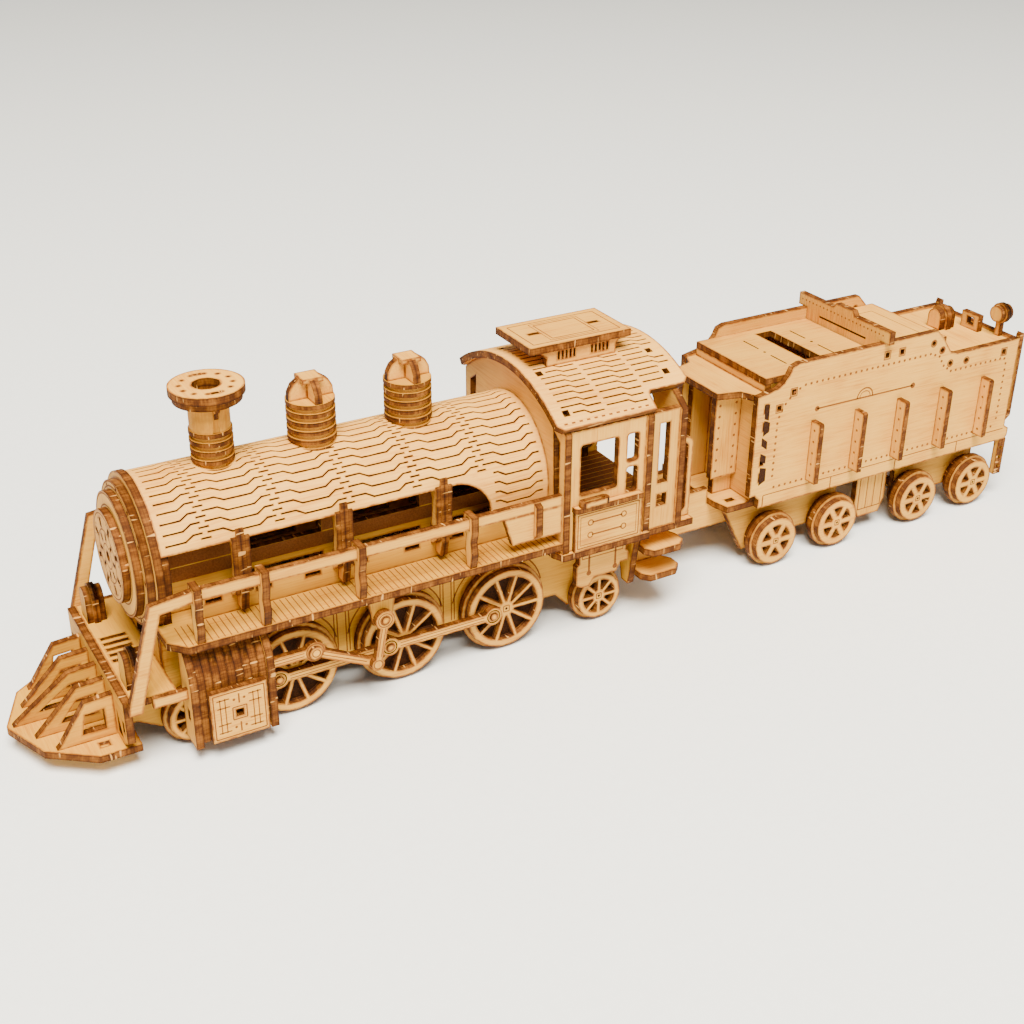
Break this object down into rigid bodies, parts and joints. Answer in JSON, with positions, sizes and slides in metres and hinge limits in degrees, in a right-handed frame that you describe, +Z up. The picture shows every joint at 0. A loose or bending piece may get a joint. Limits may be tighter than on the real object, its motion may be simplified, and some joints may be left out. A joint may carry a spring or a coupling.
{
  "type": "wooden 3d jigsaw model",
  "caption": "Plywood steam locomotive with a tender, slotted together from laser-cut sheets, with turning wheels, coupling rods and a swinging tender.",
  "frame": {"origin": "on the floor, below the middle of the bounding box", "axes": "+X forwards along the locomotive to the cowcatcher, +Y to its left, +Z up"},
  "size_m": [0.3922, 0.0728, 0.1066],
  "materials": {
    "plywood": "bare birch plywood with laser-burnt edges",
    "bent_ply": "thin birch plywood, slit by laser so that it bends"
  },
  "bodies": {
    "locomotive": {"axle_guards": "plywood", "boiler_panels": "plywood", "boiler_ribs": "plywood", "boiler_skin": "bent_ply", "cab_floor": "plywood", "cab_ledges": "plywood", "cab_panels": "plywood", "cab_roof": "bent_ply", "cab_sides": "plywood", "cab_steps": "plywood", "cab_walls": "plywood", "cylinder_bodies": "plywood", "cylinder_covers": "plywood", "cylinder_ends": "plywood", "dome_caps": "plywood", "domes": "plywood", "frame_plates": "plywood", "frame_spacers": "plywood", "handrails": "plywood", "pilot_base": "plywood", "pilot_beam": "plywood", "pilot_deck": "plywood", "pilot_ribs": "plywood", "rail_posts": "plywood", "running_deck": "plywood", "smokebox_door": "plywood", "smokebox_plate": "plywood", "smokebox_ring": "plywood", "smokestack": "plywood", "smokestack_neck": "plywood", "smokestack_rim": "plywood", "stanchions": "plywood", "vent_sides": "plywood", "vent_top": "plywood"},
    "driver_front": {"driver_wheels_front": "plywood"},
    "driver_middle": {"driver_wheels_middle": "plywood"},
    "driver_rear": {"driver_wheels_rear": "plywood"},
    "pilot_axle": {"pilot_wheels": "plywood"},
    "trailing_axle": {"trailing_wheels": "plywood"},
    "coupling_bar_left": {"coupling_rod_left": "plywood"},
    "coupling_bar_right": {"coupling_rod_right": "plywood"},
    "crosshead_left": {"piston_rod_left": "plywood"},
    "crosshead_right": {"piston_rod_right": "plywood"},
    "lever_left": {"swing_lever_left": "plywood"},
    "lever_right": {"swing_lever_right": "plywood"},
    "bogie_front": {"bogie_sides_front": "plywood", "bogie_bolster_front": "plywood"},
    "bogie_rear": {"bogie_sides_rear": "plywood", "bogie_bolster_rear": "plywood"},
    "tender_axle_1": {"tender_wheels_1": "plywood"},
    "tender_axle_2": {"tender_wheels_2": "plywood"},
    "tender_axle_3": {"tender_wheels_3": "plywood"},
    "tender_axle_4": {"tender_wheels_4": "plywood"},
    "tender": {"tender_sides": "plywood", "tender_stiffeners": "plywood", "tender_walls": "plywood", "tender_floor": "plywood", "tender_decks": "plywood", "tender_fittings": "plywood", "tender_brackets": "plywood"}
  },
  "joints": [
    {"name": "driver_middle_spin", "type": "hinge", "parent": "locomotive", "child": "driver_middle", "pos_m": [0.074, 0, 0.0158], "axis": [0, 1, 0], "continuous": true},
    {"name": "driver_front_spin", "type": "hinge", "parent": "locomotive", "child": "driver_front", "pos_m": [0.112, 0, 0.0158], "axis": [0, 1, 0], "continuous": true},
    {"name": "driver_rear_spin", "type": "hinge", "parent": "locomotive", "child": "driver_rear", "pos_m": [0.036, 0, 0.0158], "axis": [0, 1, 0], "continuous": true},
    {"name": "coupling_rod_left_pivot", "type": "hinge", "parent": "driver_middle", "child": "coupling_bar_left", "pos_m": [0.0802, 0.0257, 0.0158], "axis": [0, 1, 0], "continuous": true},
    {"name": "coupling_rod_right_pivot", "type": "hinge", "parent": "driver_middle", "child": "coupling_bar_right", "pos_m": [0.0802, -0.0257, 0.0158], "axis": [0, 1, 0], "continuous": true},
    {"name": "pilot_wheels_spin", "type": "hinge", "parent": "locomotive", "child": "pilot_axle", "pos_m": [0.1445, 0, 0.00985], "axis": [0, 1, 0], "continuous": true},
    {"name": "trailing_wheels_spin", "type": "hinge", "parent": "locomotive", "child": "trailing_axle", "pos_m": [-0.0011, 0, 0.00985], "axis": [0, 1, 0], "continuous": true},
    {"name": "piston_rod_left_slide", "type": "slide", "parent": "locomotive", "child": "crosshead_left", "axis": [1, 0, 0], "range_m": [-0.004, 0.004]},
    {"name": "swing_lever_left_pivot", "type": "hinge", "parent": "locomotive", "child": "lever_left", "pos_m": [0.0842, 0.0316, 0.0304], "axis": [0, 1, 0], "range_deg": [-15, 15]},
    {"name": "piston_rod_right_slide", "type": "slide", "parent": "locomotive", "child": "crosshead_right", "axis": [1, 0, 0], "range_m": [-0.004, 0.004]},
    {"name": "swing_lever_right_pivot", "type": "hinge", "parent": "locomotive", "child": "lever_right", "pos_m": [0.0842, -0.0316, 0.0304], "axis": [0, 1, 0], "range_deg": [-15, 15]},
    {"name": "tender_swing", "type": "hinge", "parent": "locomotive", "child": "tender", "pos_m": [-0.04, 0, 0.0256], "axis": [0, 0, 1], "range_deg": [-10, 10]},
    {"name": "bogie_front_swivel", "type": "hinge", "parent": "tender", "child": "bogie_front", "pos_m": [-0.094, 0, 0.0271], "axis": [0, 0, 1], "range_deg": [-4, 4]},
    {"name": "bogie_rear_swivel", "type": "hinge", "parent": "tender", "child": "bogie_rear", "pos_m": [-0.1647, 0, 0.0271], "axis": [0, 0, 1], "range_deg": [-4, 4]},
    {"name": "tender_wheels_1_spin", "type": "hinge", "parent": "bogie_front", "child": "tender_axle_1", "pos_m": [-0.07925, 0, 0.01065], "axis": [0, 1, 0], "continuous": true},
    {"name": "tender_wheels_2_spin", "type": "hinge", "parent": "bogie_front", "child": "tender_axle_2", "pos_m": [-0.10875, 0, 0.01065], "axis": [0, 1, 0], "continuous": true},
    {"name": "tender_wheels_3_spin", "type": "hinge", "parent": "bogie_rear", "child": "tender_axle_3", "pos_m": [-0.14995, 0, 0.01065], "axis": [0, 1, 0], "continuous": true},
    {"name": "tender_wheels_4_spin", "type": "hinge", "parent": "bogie_rear", "child": "tender_axle_4", "pos_m": [-0.17945, 0, 0.01065], "axis": [0, 1, 0], "continuous": true}
  ],
  "couplings": [
    {"joint": "driver_front_spin", "follows": "driver_middle_spin", "ratio": 1},
    {"joint": "driver_rear_spin", "follows": "driver_middle_spin", "ratio": 1},
    {"joint": "coupling_rod_left_pivot", "follows": "driver_middle_spin", "ratio": -1},
    {"joint": "coupling_rod_right_pivot", "follows": "driver_middle_spin", "ratio": -1},
    {"joint": "swing_lever_left_pivot", "follows": "piston_rod_left_slide", "rad_per_m": -64.1},
    {"joint": "swing_lever_right_pivot", "follows": "piston_rod_right_slide", "rad_per_m": -64.1}
  ]
}
